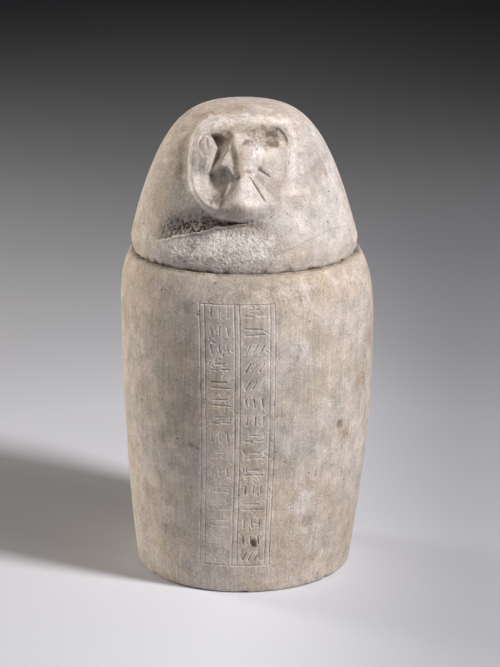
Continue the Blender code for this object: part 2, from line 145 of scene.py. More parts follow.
def finished(name, form, marks):
    """The named piece made from a form, with its marks stored as colours on its vertices."""
    mesh = bpy.data.meshes.new(name)
    form.to_mesh(mesh)
    form.free()
    for layer, channels in marks.items():
        colour = np.ones((len(mesh.vertices), 4), dtype=np.float32)
        for channel, values in enumerate(channels):
            colour[:, channel] = values
        store = mesh.attributes.new(layer, "FLOAT_COLOR", "POINT")
        store.data.foreach_set("color", colour.ravel())
    mesh.shade_smooth()
    mesh.set_sharp_from_angle(angle=math.radians(60))
    piece = bpy.data.objects.new(name, mesh)
    bpy.context.scene.collection.objects.link(piece)
    return piece


jar_fillet = (CAVITY_RADIUS - FLOOR_FILLET, FLOOR + FLOOR_FILLET)
hollow_top = JAR_HEIGHT - MOUTH_DEPTH
jar_line = [(0.0, FLOOR)] + arc(jar_fillet, FLOOR_FILLET, -90, 0, 5)
jar_line += [(CAVITY_RADIUS, hollow_top - (CAVITY_RADIUS - MOUTH_RADIUS)), (MOUTH_RADIUS, hollow_top)]
jar_line += [(MOUTH_RADIUS, JAR_HEIGHT), (0.5 * (MOUTH_RADIUS + RIM_RADIUS), JAR_HEIGHT)]
jar_line += arc((RIM_RADIUS - RIM_ROUNDING, JAR_HEIGHT - RIM_ROUNDING), RIM_ROUNDING, 90, 15, 3)
side_heights = np.linspace(JAR_HEIGHT - RIM_ROUNDING, FOOT_ROUNDING, 2000)
side_line = evenly(np.stack([jar_radius(side_heights), side_heights], axis=1), JAR_ROWS)
foot_radius = float(jar_radius(FOOT_ROUNDING)) - FOOT_ROUNDING
jar_line += side_line + arc((foot_radius, FOOT_ROUNDING), FOOT_ROUNDING, -25, -90, 3)
jar_line += [(0.5 * foot_radius, 0.0), (0.0, 0.0)]
jar_form = turned(jar_line, JAR_SEGMENTS)


def on_jar_front(m):
    """Whether a place is in the part of the jar's front that carries the cuts."""
    return abs(m.x) < FRONT_HALF and FRONT_BOTTOM < m.z < FRONT_TOP and m.y < FRONT_Y


refine(jar_form, FRONT_CUTS, faces_where(jar_form, on_jar_front))


# The jar's front: a frame of six upright lines closed above and below, with two columns of cuts.
# The cuts are plain bars, ticks, slants and dashes that spell nothing, worn fainter on the left.

PANEL_TOP = 0.1895
PANEL_BOTTOM = 0.0195
PANEL_MIDDLE = -0.0001
PANEL_SLANT = -0.0010
COLUMN_WIDTH = 0.0188
COLUMN_TAPER = 0.0015
LINE_PAIR = 0.0031
STROKE_ROWS = 15
STROKE_MARGIN = 0.0022
ROW_GAP = 0.0031
STROKE_SEED = 7
LINE_HALF = 0.00048
LINE_DEPTH = 0.00052
STROKE_HALF = 0.00062
STROKE_DEPTH = 0.00085
CUT_REACH = 0.0008  # how near to a cut the net is split once more
CUTS_HALF = 0.0265  # the part of the jar that cuts can reach
CUTS_BOTTOM = 0.0155
CUTS_TOP = 0.1935
DEEPEST_CUT = 0.001
PALE_BAND_FROM_CUT = 0.0008  # a pale band along each cut
PALE_BAND_HALF = 0.0007
NICKS = 14  # small marks tried in each row's cell
NICK_APART = 0.0013


def segment_distance(a, b, start, end):
    """How far each place (a, b) is from a straight line between two points."""
    run = (end[0] - start[0], end[1] - start[1])
    share = ((a - start[0]) * run[0] + (b - start[1]) * run[1]) / (run[0] ** 2 + run[1] ** 2)
    share = np.clip(share, 0.0, 1.0)
    return np.hypot(a - start[0] - share * run[0], b - start[1] - share * run[1])


def panel_share(z):
    """0 at the top of the incised panel, 1 at its bottom."""
    return (PANEL_TOP - z) / (PANEL_TOP - PANEL_BOTTOM)


def column_edges(side, z):
    """Inner and outer edge of the left (-1) or right (1) column at height z."""
    middle = PANEL_MIDDLE + PANEL_SLANT * panel_share(z)
    inner = middle + side * LINE_PAIR / 2
    return inner, inner + side * (COLUMN_WIDTH - COLUMN_TAPER * panel_share(z))


def frame_lines():
    """The frame's lines as pairs of (across, height)."""
    lines = []
    for side in (-1, 1):
        for beyond, edge in ((0.0, 0), (0.0, 1), (LINE_PAIR, 1)):
            ends = [(column_edges(side, z)[edge] + side * beyond, z) for z in (PANEL_TOP, PANEL_BOTTOM)]
            lines.append(tuple(ends))
    for z in (PANEL_TOP, PANEL_BOTTOM):
        left = column_edges(-1, z)[1] - LINE_PAIR
        right = column_edges(1, z)[1] + LINE_PAIR
        lines.append(((left, z), (right, z)))
    return lines


def row_strokes(kind, chance):
    """The strokes of one row, as pairs of points in a cell that runs from 0 to 1 both ways."""
    tilt = chance.uniform(-0.06, 0.06)
    if kind == "bars":
        return [((0.06, 0.28 + tilt), (0.94, 0.28)), ((0.06, 0.72), (0.80, 0.72 + tilt))]
    if kind == "ticks":
        return [((x, 0.18), (x + tilt, 0.82)) for x in (0.14, 0.50, 0.86)]
    if kind == "slants":
        return [((x, 0.20), (x + 0.20, 0.80)) for x in (0.08, 0.38, 0.68)]
    low = [((0.06, 0.30), (0.38, 0.30 + tilt)), ((0.58, 0.34), (0.92, 0.34))]
    return low + [((0.28, 0.74), (0.70, 0.74 - tilt))]


def in_cell(side, low, high, point):
    """A point of a cell, from 0 to 1 both ways, as (across, height) on the jar."""
    z = low + (high - low) * point[1]
    edges = sorted(column_edges(side, z))
    left, right = edges[0] + STROKE_MARGIN, edges[1] - STROKE_MARGIN
    return left + (right - left) * point[0], z


def stroke_lines():
    """Both columns' strokes: side, share of the full depth, start and end."""
    chance = random.Random(STROKE_SEED)
    nick = random.Random(STROKE_SEED + 1)
    kinds = ("bars", "ticks", "slants", "dashes")
    pitch = (PANEL_TOP - PANEL_BOTTOM) / STROKE_ROWS
    lines = []
    for side in (-1, 1):
        for row in range(STROKE_ROWS):
            low = PANEL_BOTTOM + row * pitch + STROKE_MARGIN
            high = low + pitch - ROW_GAP
            row_lines = [(in_cell(side, low, high, start), in_cell(side, low, high, end))
                         for start, end in row_strokes(chance.choice(kinds), chance)]
            lines += [(side, nick.uniform(0.6, 1.0), start, end) for start, end in row_lines]
            for _ in range(NICKS):
                first = (nick.uniform(0.0, 1.0), nick.uniform(0.0, 1.1))
                second = (first[0] + nick.uniform(-0.14, 0.14), first[1] + nick.uniform(-0.20, 0.20))
                start, end = in_cell(side, low, high, first), in_cell(side, low, high, second)
                apart = min(segment_distance(*place, *line)
                            for place in (start, end) for line in row_lines)
                if apart > NICK_APART:
                    lines.append((side, nick.uniform(0.25, 0.6), start, end))
    return lines


def groove(distance, half, depth):
    """Depth of a hollow-ground cut at a distance from its middle line."""
    return depth * np.clip(1.0 - (distance / half) ** 2, 0.0, 1.0)


def noisy(places, scale, offset=0.0, octaves=3):
    """Smooth noise from about -1 to 1 at each place, its features about 1/scale metres wide."""
    shift = Vector((offset, offset, offset))
    return np.array([noise.fractal(Vector(p) * scale + shift, 0.9, 2.0, octaves) for p in places])


def panel_depth(across, z, places):
    """How deep the frame and the strokes are cut at each place of the jar's front."""
    wobble = 0.00026 * noisy(places, 240.0)
    wander = 0.00026 * noisy(places, 240.0, 7.3)
    worn = np.clip(0.75 + 0.6 * noisy(places, 90.0, 3.1), 0.1, 1.3)
    across, z = across + wobble, z + wander
    depth = np.zeros(len(across))
    for start, end in frame_lines():
        distance = segment_distance(across, z, start, end)
        depth = np.maximum(depth, groove(distance, LINE_HALF, LINE_DEPTH) * worn)
    for side, share, start, end in stroke_lines():
        near = segment_distance(across, z, start, end)
        middle = 0.5 * (start[1] + end[1])
        fading = 1.0 if side > 0 else 0.35 + 0.65 * float(smooth((middle - 0.05) / 0.10))
        half = STROKE_HALF * (0.7 + 0.3 * share)
        depth = np.maximum(depth, groove(near, half, STROKE_DEPTH * share * fading) * worn)
    return np.clip(depth, 0.0, DEEPEST_CUT)


# Wear on the jar: two pits knocked out of its side, smaller ones, scratches, and chips along the
# rim and the foot. Each is given by how far round from the front it is, in degrees, and its height.

PITS = (
    (51.4, 0.1060, 0.0030, 0.0030, 0.0022), (8.3, 0.0345, 0.0022, 0.0034, 0.0016),
    (25.2, 0.1829, 0.0014, 0.0012, 0.0007), (28.8, 0.1582, 0.0012, 0.0012, 0.0006),
    (-22.5, 0.0990, 0.0012, 0.0012, 0.0007), (-37.0, 0.0496, 0.0050, 0.0060, 0.0006),
    (36.0, 0.0413, 0.0040, 0.0030, 0.0005), (-31.0, 0.1330, 0.0014, 0.0011, 0.0006),
    (62.0, 0.0720, 0.0016, 0.0014, 0.0008), (-58.0, 0.0880, 0.0020, 0.0016, 0.0008),
    (120.0, 0.1450, 0.0024, 0.0020, 0.0012), (-135.0, 0.0620, 0.0028, 0.0022, 0.0013),
    (170.0, 0.1150, 0.0018, 0.0022, 0.0010), (-165.0, 0.1700, 0.0016, 0.0016, 0.0009),
)
SCRATCHES = (
    ((-22.7, 0.0997), (-17.6, 0.0954)), ((-24.5, 0.1832), (-17.3, 0.1822)),
    ((22.0, 0.0900), (23.4, 0.0878)), ((-25.5, 0.1868), (-22.0, 0.1890)),
    ((-22.0, 0.1890), (-20.4, 0.1872)), ((105.0, 0.0700), (112.0, 0.1010)),
    ((-110.0, 0.1500), (-103.0, 0.1380)), ((150.0, 0.1300), (158.0, 0.1260)),
)
SCRATCH_HALF = 0.0009
SCRATCH_DEPTH = 0.0004
RIM_WEAR = 0.004  # how far the chips reach from the rim and from the foot
FOOT_WEAR = 0.006
CHIP_DEPTH = 0.0022
RIM_CHIP_DROP = 0.0009
UNEVENNESS = 0.00016

cuts = frame_lines() + [line[2:] for line in stroke_lines()]
middles = np.array([face.calc_center_median() for face in jar_form.faces])
front = (middles[:, 1] < FRONT_Y) & (np.abs(middles[:, 0]) < FRONT_HALF)
arc_places = np.arctan2(middles[:, 0], -middles[:, 1]) * np.hypot(middles[:, 0], middles[:, 1])
close = np.zeros(len(middles), dtype=bool)
for start, end in cuts:
    close |= segment_distance(arc_places, middles[:, 2], start, end) < CUT_REACH
jar_form.faces.ensure_lookup_table()
refine(jar_form, 1, [jar_form.faces[i] for i in np.flatnonzero(close & front)])
places = places_of(jar_form)
radius = np.hypot(places[:, 0], places[:, 1])
turn = np.arctan2(places[:, 0], -places[:, 1])
height = places[:, 2]
outside = radius > RIM_RADIUS - 0.010
across = turn * np.where(outside, jar_radius(height), 1.0)
on_panel = outside & (np.abs(across) < CUTS_HALF) & (height > CUTS_BOTTOM) & (height < CUTS_TOP)
cut = np.zeros(len(places))
pale_band = np.zeros(len(places))
nearest = np.full(on_panel.sum(), 1.0)
for start, end in cuts:
    nearest = np.minimum(nearest, segment_distance(across[on_panel], height[on_panel], start, end))
pale_band[on_panel] = bell((nearest - PALE_BAND_FROM_CUT) / PALE_BAND_HALF)
cut[on_panel] = panel_depth(across[on_panel], height[on_panel], places[on_panel])
knocked = np.zeros(len(places))
for degrees, z, half_width, half_height, depth in PITS:
    aside = (across - math.radians(degrees) * float(jar_radius(z))) / half_width
    reach = np.hypot(aside, (height - z) / half_height)
    knocked = np.maximum(knocked, depth * smooth((1.25 - reach) / 0.9) * outside)
for start, end in SCRATCHES:
    ends = [(math.radians(degrees) * float(jar_radius(z)), z) for degrees, z in (start, end)]
    scratch = groove(segment_distance(across, height, *ends), SCRATCH_HALF, SCRATCH_DEPTH)
    knocked = np.maximum(knocked, scratch * outside)
edge_near = np.maximum(bell((height - JAR_HEIGHT) / RIM_WEAR), bell(height / FOOT_WEAR) * 0.8) * outside
on_edge = edge_near > 0.0
chips = np.zeros(len(places))
chips[on_edge] = smooth((noisy(places[on_edge], 110.0, 11.0) - 0.18) / 0.5) * edge_near[on_edge]
uneven = np.zeros(len(places))
uneven[outside] = UNEVENNESS * (1.0 + noisy(places[outside], 22.0, 5.0, 2))
inward = cut + knocked + CHIP_DEPTH * chips + uneven
shrink = (radius - inward) / np.maximum(radius, WELD)
places[:, 0] = places[:, 0] * shrink + axis_x(height)
places[:, 1] = places[:, 1] * shrink
rim_top = (height > JAR_HEIGHT - WELD) & outside
places[rim_top, 2] -= RIM_CHIP_DROP * chips[rim_top]
move_to(jar_form, places)


# The stains on the jar: brown earth stains, pale rubbed scuffs and dark smudges, given by how far
# round they are, their height, their half width and height in millimetres, and their strength.

BROWN_STAINS = (
    (53.2, 0.0987, 6.0, 7.0, 0.9), (41.5, 0.0997, 8.0, 6.0, 0.5), (8.3, 0.0345, 3.5, 5.0, 0.9),
    (34.5, 0.1652, 12.0, 9.0, 0.45), (66.6, 0.1353, 9.0, 15.0, 0.8), (77.7, 0.1553, 10.0, 9.0, 0.7),
    (-51.0, 0.1263, 9.0, 12.0, 0.5), (-34.0, 0.1035, 3.0, 3.0, 0.8), (4.0, 0.1720, 4.0, 11.0, 0.5),
    (140.0, 0.1200, 18.0, 22.0, 0.6), (-120.0, 0.0600, 20.0, 16.0, 0.6),
    (-165.0, 0.1550, 14.0, 20.0, 0.5),
)
PALE_SCUFFS = (
    (30.7, 0.0590, 8.0, 11.0, 0.6), (27.6, 0.1601, 7.0, 9.0, 0.6), (-37.0, 0.0496, 5.0, 7.0, 0.9),
    (36.0, 0.0413, 6.0, 3.5, 0.9), (28.0, 0.1950, 10.0, 5.0, 0.4), (100.0, 0.1100, 12.0, 16.0, 0.5),
    (-150.0, 0.1000, 14.0, 18.0, 0.5),
)
DARK_SMUDGES = (
    (8.1, 0.2006, 5.0, 3.0, 0.6), (2.5, 0.1955, 6.0, 3.5, 0.5), (-20.0, 0.0975, 5.0, 2.5, 0.5),
    (51.4, 0.1060, 2.6, 2.6, 1.0), (8.3, 0.0345, 1.8, 3.0, 0.7), (-22.5, 0.0990, 1.4, 1.4, 1.0),
)
CUT_SHADE_DEPTH = 0.0008  # how deep a cut is when its painted shade is darkest, and a pit when it holds the most dirt
DIRTY_PIT = 0.0015
# how far the painted shade along the seam between jar and lid reaches
SEAM_SHADE = 0.0018


def spots(spot_list, across, height, ragged):
    """How strongly each place is covered by the listed spots, with ragged edges."""
    cover = np.zeros(len(across))
    for degrees, z, half_width, half_height, strength in spot_list:
        aside = (across - math.radians(degrees) * float(jar_radius(z))) / (half_width / 1000)
        reach = np.hypot(aside, (height - z) / (half_height / 1000)) + 0.55 * ragged
        cover = np.maximum(cover, strength * smooth((1.25 - reach) / 0.9))
    return cover


ragged = noisy(places, 130.0, 9.0)
brown, pale, dark = [spots(listed, across, height, ragged) * outside
                     for listed in (BROWN_STAINS, PALE_SCUFFS, DARK_SMUDGES)]
jar_marks = {
    "wear": (cut / CUT_SHADE_DEPTH, np.clip(knocked / DIRTY_PIT, 0, 1), chips),
    "stains_and_painted_light": (brown, np.maximum(pale, 0.5 * pale_band),
               # painted shade along the rim where the lid sits
               np.maximum(dark, bell((height - JAR_HEIGHT) / SEAM_SHADE))),
}
jar = finished("jar_stone", jar_form, jar_marks)


# The stone itself: chalky limestone with warm and grey patches, open pores, fine upright tool
# marks and brown earth in its hollows. Its marks also paint shade into the cuts, along the seam and
# into the lid's hollows and creases, and highlights onto the lid's lit edges. Both pieces are cut
# from it, each with its own values.

# rubbed pale stone, also used for painted highlights
PALE_RUB_AND_HIGHLIGHT = (0.86, 0.80, 0.755, 1)
# soot, also used for painted shade along the seam and on the lid's face
SOOT_AND_SHADE = (0.13, 0.11, 0.09, 1)
PORE_DARK = (0.15, 0.115, 0.09, 1)
# painted shade in the cuts
CUT_SHADE = (0.17, 0.13, 0.10, 1)
# brown earth in hollows, also used for painted shade in the lid's recess under the chin
HOLLOW_EARTH_AND_SHADE = (0.20, 0.145, 0.10, 1)
BUMP_DISTANCE = 0.0006
STONE_SPECULAR = 0.25


def node(tree, kind, inputs=None, **settings):
    """A new shader node with its settings and the values or links of its inputs."""
    made = tree.nodes.new(kind)
    for name, value in settings.items():
        setattr(made, name, value)
    for name, value in (inputs or {}).items():
        if isinstance(value, bpy.types.NodeSocket):
            tree.links.new(value, made.inputs[name])
        else:
            made.inputs[name].default_value = value
    return made


def blend_colour(tree, factor, first, second, mode="MIX"):
    """The two colours mixed by a factor, in one of the usual ways."""
    mix = node(tree, "ShaderNodeMix", data_type="RGBA", blend_type=mode, clamp_factor=True)
    for index, value in ((0, factor), (6, first), (7, second)):
        if isinstance(value, bpy.types.NodeSocket):
            tree.links.new(value, mix.inputs[index])
        else:
            mix.inputs[index].default_value = value
    return mix.outputs[2]


def maths(tree, operation, *values, clamp=False):
    made = node(tree, "ShaderNodeMath", operation=operation, use_clamp=clamp)
    for socket, value in zip(made.inputs, values):
        if isinstance(value, bpy.types.NodeSocket):
            tree.links.new(value, socket)
        else:
            socket.default_value = value
    return made.outputs[0]


def vector_maths(tree, operation, inputs):
    return node(tree, "ShaderNodeVectorMath", inputs, operation=operation).outputs[0]


def ramp(tree, value, low, high):
    """0 below low and 1 above high, rising smoothly between them."""
    made = node(tree, "ShaderNodeMapRange", {"Value": value, "From Min": low, "From Max": high},
                interpolation_type="SMOOTHSTEP")
    return made.outputs["Result"]


def speckle(tree, place, scale, detail=4.0, roughness=0.55, stretch=(1, 1, 1), offset=0.0):
    """Cloudy noise from 0 to 1, with features about 1/scale metres wide."""
    moved = node(tree, "ShaderNodeMapping", {"Vector": place, "Scale": stretch,
                                             "Location": (offset, offset, offset)})
    made = node(tree, "ShaderNodeTexNoise", {"Vector": moved.outputs[0], "Scale": scale,
                                             "Detail": detail, "Roughness": roughness})
    return made.outputs["Fac"]


def new_group(name, inputs, outputs):
    """An empty node group with named inputs and outputs, and its two end nodes."""
    group = bpy.data.node_groups.new(name, "ShaderNodeTree")
    for side, sockets in (("INPUT", inputs), ("OUTPUT", outputs)):
        for label, kind in sockets:
            group.interface.new_socket(name=label, in_out=side, socket_type=kind)
    start = group.nodes.new("NodeGroupInput")
    end = group.nodes.new("NodeGroupOutput")
    return group, start, end


def open_pores(tree, place):
    """1 in the stone's open pores: the middles of some of a net of crooked cells."""
    shove = node(tree, "ShaderNodeTexNoise", {"Vector": place, "Scale": 800.0, "Detail": 3.0})
    shove = vector_maths(tree, "SUBTRACT", {0: shove.outputs["Color"], 1: (0.5, 0.5, 0.5)})
    shove = vector_maths(tree, "SCALE", {0: shove, "Scale": 0.0022})
    bent = vector_maths(tree, "ADD", {0: place, 1: shove})
    cells = node(tree, "ShaderNodeTexVoronoi", {"Vector": bent, "Scale": 210.0, "Randomness": 1.0},
                 feature="F1")
    lottery = node(tree, "ShaderNodeSeparateColor", {"Color": cells.outputs["Color"]}).outputs[0]
    size = maths(tree, "MULTIPLY_ADD", ramp(tree, lottery, 0.66, 1.0), 0.10, 0.03)
    inside = maths(tree, "SUBTRACT", size, cells.outputs["Distance"])
    return maths(tree, "MULTIPLY", ramp(tree, inside, -0.03, 0.02), ramp(tree, lottery, 0.64, 0.68))


def limestone_group():
    """Colour, roughness and height of weathered limestone, with painted shade and highlights from its
    marks.
    """
    colour, number, vector = "NodeSocketColor", "NodeSocketFloat", "NodeSocketVector"
    group, start, end = new_group(
        "weathered limestone",
        (("Place", vector), ("Pale", colour), ("Warm", colour), ("Grey", colour), ("Rosy", colour),
         ("Earth", colour), ("Tooling", number), ("Wear", colour), ("Stains and painted light", colour)),
        (("Colour", colour), ("Roughness", number), ("Height", number)))
    socket = start.outputs
    place = socket["Place"]
    wear = node(group, "ShaderNodeSeparateColor", {"Color": socket["Wear"]}).outputs
    stains_and_painted_light = node(group, "ShaderNodeSeparateColor", {"Color": socket["Stains and painted light"]}).outputs
    clouds = ramp(group, speckle(group, place, 16.0, 5.0, 0.6), 0.38, 0.62)
    veil = ramp(group, speckle(group, place, 23.0, 5.0, 0.6, offset=4.0), 0.42, 0.66)
    drift = ramp(group, speckle(group, place, 110.0, 5.0, 0.65, offset=15.0), 0.42, 0.64)
    mottle = speckle(group, place, 90.0, 8.0, 0.75)
    grain = speckle(group, place, 1000.0, 4.0, 0.7)
    tooling = speckle(group, place, 1.0, 3.0, 0.6, stretch=(700.0, 700.0, 24.0))
    body = blend_colour(group, clouds, socket["Pale"], socket["Warm"])
    body = blend_colour(group, maths(group, "MULTIPLY", veil, 0.55), body, socket["Grey"])
    body = blend_colour(group, maths(group, "MULTIPLY", drift, 0.7), body, socket["Rosy"])
    flecks = ramp(group, speckle(group, place, 170.0, 7.0, 0.75, offset=2.0), 0.56, 0.72)
    clusters = ramp(group, speckle(group, place, 34.0, 3.0, 0.6, offset=8.0), 0.46, 0.68)
    earthy = maths(group, "MULTIPLY", flecks, maths(group, "MULTIPLY_ADD", clusters, 0.6, 0.12))
    # Brown stains, and on the lid some painted shade under the chin, beside the beak and in the lost
    # eye.
    browned = maths(group, "MULTIPLY", stains_and_painted_light[0], ramp(group, mottle, 0.42, 0.57))
    body = blend_colour(group, maths(group, "MAXIMUM", earthy, browned), body, socket["Earth"])
    # Pale rubbed scuffs and the pale bands along the jar's cuts, and on the lid painted highlights on
    # its lit rims, flanks and lower bill.
    rub_and_highlight = maths(group, "MULTIPLY", stains_and_painted_light[1], ramp(group, mottle, 0.33, 0.49))
    body = blend_colour(group, maths(group, "MULTIPLY", rub_and_highlight, 0.9), body, PALE_RUB_AND_HIGHLIGHT)
    # Dark smudges, and painted shade: along the seam between jar and lid and in the hollows and creases
    # of the lid's face.
    soot_and_shade = maths(group, "MULTIPLY", stains_and_painted_light[2], ramp(group, mottle, 0.36, 0.60))
    body = blend_colour(group, maths(group, "MULTIPLY", soot_and_shade, 0.85), body, SOOT_AND_SHADE)
    pits = open_pores(group, place)
    specks = ramp(group, speckle(group, place, 620.0, 3.0, 0.6, offset=21.0), 0.67, 0.73)
    broken = wear[2]
    nibbled = ramp(group, speckle(group, place, 520.0, 3.0, 0.65, offset=31.0), 0.50, 0.62)
    nibbled = maths(group, "MULTIPLY", nibbled, broken)
    dark = maths(group, "MULTIPLY", pits, 0.75)
    for marks, share in ((specks, 0.5), (nibbled, 0.36)):
        dark = maths(group, "MAXIMUM", dark, maths(group, "MULTIPLY", marks, share))
    body = blend_colour(group, dark, body, PORE_DARK)
    shade = maths(group, "MULTIPLY_ADD", maths(group, "SUBTRACT", mottle, 0.5), 1.35, 0.95)
    coarse = maths(group, "MULTIPLY_ADD", broken, 0.4, 1.3)
    shade = maths(group, "MULTIPLY_ADD", maths(group, "SUBTRACT", grain, 0.5), coarse, shade)
    streak = maths(group, "MULTIPLY", maths(group, "SUBTRACT", tooling, 0.5), socket["Tooling"])
    shade = maths(group, "MULTIPLY_ADD", streak, 0.60, shade)
    tint = node(group, "ShaderNodeCombineColor", {"Red": shade, "Green": shade, "Blue": shade})
    body = blend_colour(group, 1.0, body, tint.outputs[0], "MULTIPLY")
    # Painted shade in the cuts, darker the deeper they are cut.
    cut_shading = maths(group, "MULTIPLY", ramp(group, wear[0], 0.25, 1.0), 0.38)
    body = blend_colour(group, cut_shading, body, CUT_SHADE)
    hollow = maths(group, "MULTIPLY", wear[1], 0.7)
    body = blend_colour(group, hollow, body, HOLLOW_EARTH_AND_SHADE)
    group.links.new(body, end.inputs["Colour"])
    dull = maths(group, "MULTIPLY_ADD", mottle, 0.18, 0.78, clamp=True)
    group.links.new(dull, end.inputs["Roughness"])
    rise = maths(group, "MULTIPLY", mottle, 0.7)
    rise = maths(group, "MULTIPLY_ADD", grain, maths(group, "MULTIPLY_ADD", broken, 0.6, 0.45), rise)
    rise = maths(group, "MULTIPLY_ADD", streak, 0.5, rise)
    rise = maths(group, "MULTIPLY_ADD", pits, -0.7, rise)
    rise = maths(group, "MULTIPLY_ADD", nibbled, -0.5, rise)
    group.links.new(rise, end.inputs["Height"])
    return group


limestone = limestone_group()


def stone(name, pale, warm, grey, rosy, earth, tooling, bump):
    """One piece's limestone, with its own colours."""
    material = bpy.data.materials.new(name)
    material.use_nodes = True
    tree = material.node_tree
    shader = tree.nodes["Principled BSDF"]
    place = node(tree, "ShaderNodeTexCoord").outputs["Object"]
    wear = node(tree, "ShaderNodeAttribute", attribute_name="wear").outputs["Color"]
    # The stains attribute also carries painted shade and highlights.
    stains_and_painted_light = node(tree, "ShaderNodeAttribute", attribute_name="stains_and_painted_light").outputs["Color"]
    look = node(tree, "ShaderNodeGroup", node_tree=limestone)
    for label, value in (("Pale", pale), ("Warm", warm), ("Grey", grey), ("Rosy", rosy),
                         ("Earth", earth), ("Tooling", tooling)):
        look.inputs[label].default_value = value
    for label, source in (("Place", place), ("Wear", wear), ("Stains and painted light", stains_and_painted_light)):
        tree.links.new(source, look.inputs[label])
    raised = node(tree, "ShaderNodeBump", {"Strength": bump, "Distance": BUMP_DISTANCE,
                                           "Height": look.outputs["Height"]})
    tree.links.new(look.outputs["Colour"], shader.inputs["Base Color"])
    tree.links.new(look.outputs["Roughness"], shader.inputs["Roughness"])
    tree.links.new(raised.outputs["Normal"], shader.inputs["Normal"])
    shader.inputs["Specular IOR Level"].default_value = STONE_SPECULAR
    return material


jar.data.materials.append(stone(
    "jar limestone", pale=(0.63, 0.563, 0.49, 1), warm=(0.56, 0.465, 0.36, 1),
    grey=(0.49, 0.46, 0.42, 1), rosy=(0.65, 0.552, 0.495, 1), earth=(0.34, 0.245, 0.17, 1),
    tooling=1.0, bump=0.7))
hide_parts("jar")
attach(jar, "root")


# The lid: a second block, a domed headcloth with a falcon's face carved on its front and a round
# plug below that sits in the jar's mouth. Its lower front has flaked away below a crooked ledge.

LID_HEIGHT = 0.0932
LID_OVERHANG = 0.0008
LID_TUCK = 0.0036
LID_TUCK_HEIGHT = 0.0095
CROWN_RISE = 0.99
CROWN_TURN = 3.48
PLUG_DEPTH = 0.012
PLUG_RADIUS = 0.0486
PLUG_CHAMFER = 0.002
SEAT_GAP = 0.0003
LID_BOTTOM = JAR_HEIGHT + SEAT_GAP
LID_TOP = LID_BOTTOM + LID_HEIGHT
DOME_RADIUS = RIM_RADIUS + LID_OVERHANG
LID_SEGMENTS = 274
LID_ROWS = 75
FACE_LEAN = math.radians(15)
FACE_HALF = 0.032
FACE_ACROSS = 0.0013
FACE_BELOW_CROWN = 0.0450
FACE_MIDDLE = LID_TOP * math.cos(FACE_LEAN) - FACE_BELOW_CROWN
FACE_EDGE = 0.0036
FACE_PROUD = 0.0022
LEFT_CHEEK_PROUD = 0.0036
RIGHT_CHEEK_PROUD = 0.0018
CHIN_PROUD = 0.0036
BROW_RELIEF = 0.0028
BEAK_RELIEF = 0.0042
RIDGE_RELIEF = 0.0021
LOWER_BILL_RELIEF = 0.0046
EYE_RELIEF = 0.0024
SOCKET_DEPTH = 0.0070
LOST_EYE_DEPTH = 0.0036
CHEEK_DEPTH = 0.0042
GAPE_DEPTH = 0.0009
HEADCLOTH_TROUGH = 0.0008
LEDGE_DROP = 0.0320
LEDGE_ACROSS = 0.010
LEDGE_BEND = 0.008
LEDGE_SLOPE = 0.22
LEDGE_EDGE = 0.0010
RECESS_DEPTH = 0.0052
RECESS_HEIGHT = 0.016
RECESS_FADE = 0.012
RECESS_LEFT = -0.054
RECESS_RIGHT = 0.016
RECESS_SIDE_FADE = 0.021
SPALL_DEPTH = 0.0044
SPALL_EDGE = 0.003
SPALL_LEFT = -0.046
SPALL_LEFT_FADE = 0.024
SPALL_RIGHT = 0.032
LOW_HEIGHT = 0.010  # the lid's lowest band, which has rows of its own
LOW_ROWS = 11
FINE_CUTS = 3
FINE_FACE_HALF = 0.035  # the parts of the lid's front with the finer net: the face
FINE_FACE_TOP = 0.036
FINE_BREAK_LEFT = -0.058  # and the break under it
FINE_BREAK_RIGHT = 0.034
FINE_BREAK_TOP = -0.022
FINE_ABOVE_EDGE = 0.0008
FINE_Y = -0.01


def lid_radius(z):
    """The lid's outside: the dome of the headcloth, turned in at its lower edge."""
    height = z - LID_BOTTOM
    rise = np.clip(height / LID_HEIGHT, 0.0, 1.0)
    tuck = LID_TUCK * np.clip(1.0 - height / LID_TUCK_HEIGHT, 0.0, 1.0) ** 1.3
    return DOME_RADIUS * (1.0 - rise**CROWN_RISE) ** (1.0 / CROWN_TURN) - tuck


RIDGE_LINE = ((-0.15, 0.045), (0.17, 0.0), (0.45, -0.065), (0.80, -0.11))
FLANK_EDGE = ((0.02, -0.400), (0.185, -0.325), (0.34, -0.225), (0.58, -0.260), (0.78, -0.300))
BILL_END = ((-0.45, 0.05), (-0.37, 0.03), (-0.19, -0.06), (-0.11, -0.17), (-0.04, -0.22), (0.05, -0.18),
            (0.12, -0.13), (0.24, -0.14), (0.37, -0.03), (0.62, -0.20))
LIP_LINE = ((-0.62, -0.300), (-0.48, -0.250), (-0.30, -0.185), (-0.18, -0.165), (0.00, -0.220))
BROW_UNDER = ((-0.60, 0.66), (-0.50, 0.69), (-0.36, 0.67), (-0.28, 0.60), (-0.24, 0.55), (-0.12, 0.45))
EYE_EDGE = ((0.01, -0.600), (0.17, -0.550), (0.325, -0.495), (0.394, -0.470), (0.47, -0.510),
            (0.60, -0.570), (0.66, -0.630))


def along(share, line):
    """The second coordinate of a line given by its points, at each first coordinate."""
    return np.interp(share, [point[0] for point in line], [point[1] for point in line])


def face_reach(a, b):
    """1 on the face's outline, less inside it: an arched brow, straight cheeks and a round chin."""
    arched = np.where(b > 0.0, b / (1.05 - 0.2 * np.minimum(a * a, 1.2)), b)
    power = 2.1 + 3.4 * smooth(b / 0.5)
    return (np.abs(a) ** power + np.abs(arched) ** power) ** (1.0 / power)


def edge_width(a, b):
    """How wide the face's rounded edge is: crisp on the left, softer on the right and below."""
    below = smooth((-0.1 - b) / 0.7) * smooth((a + 0.7) / 0.5)
    return FACE_EDGE * (1.0 + 0.1 * smooth(a / 0.5) + 1.0 * below + 1.0 * below * smooth(a / 0.4))


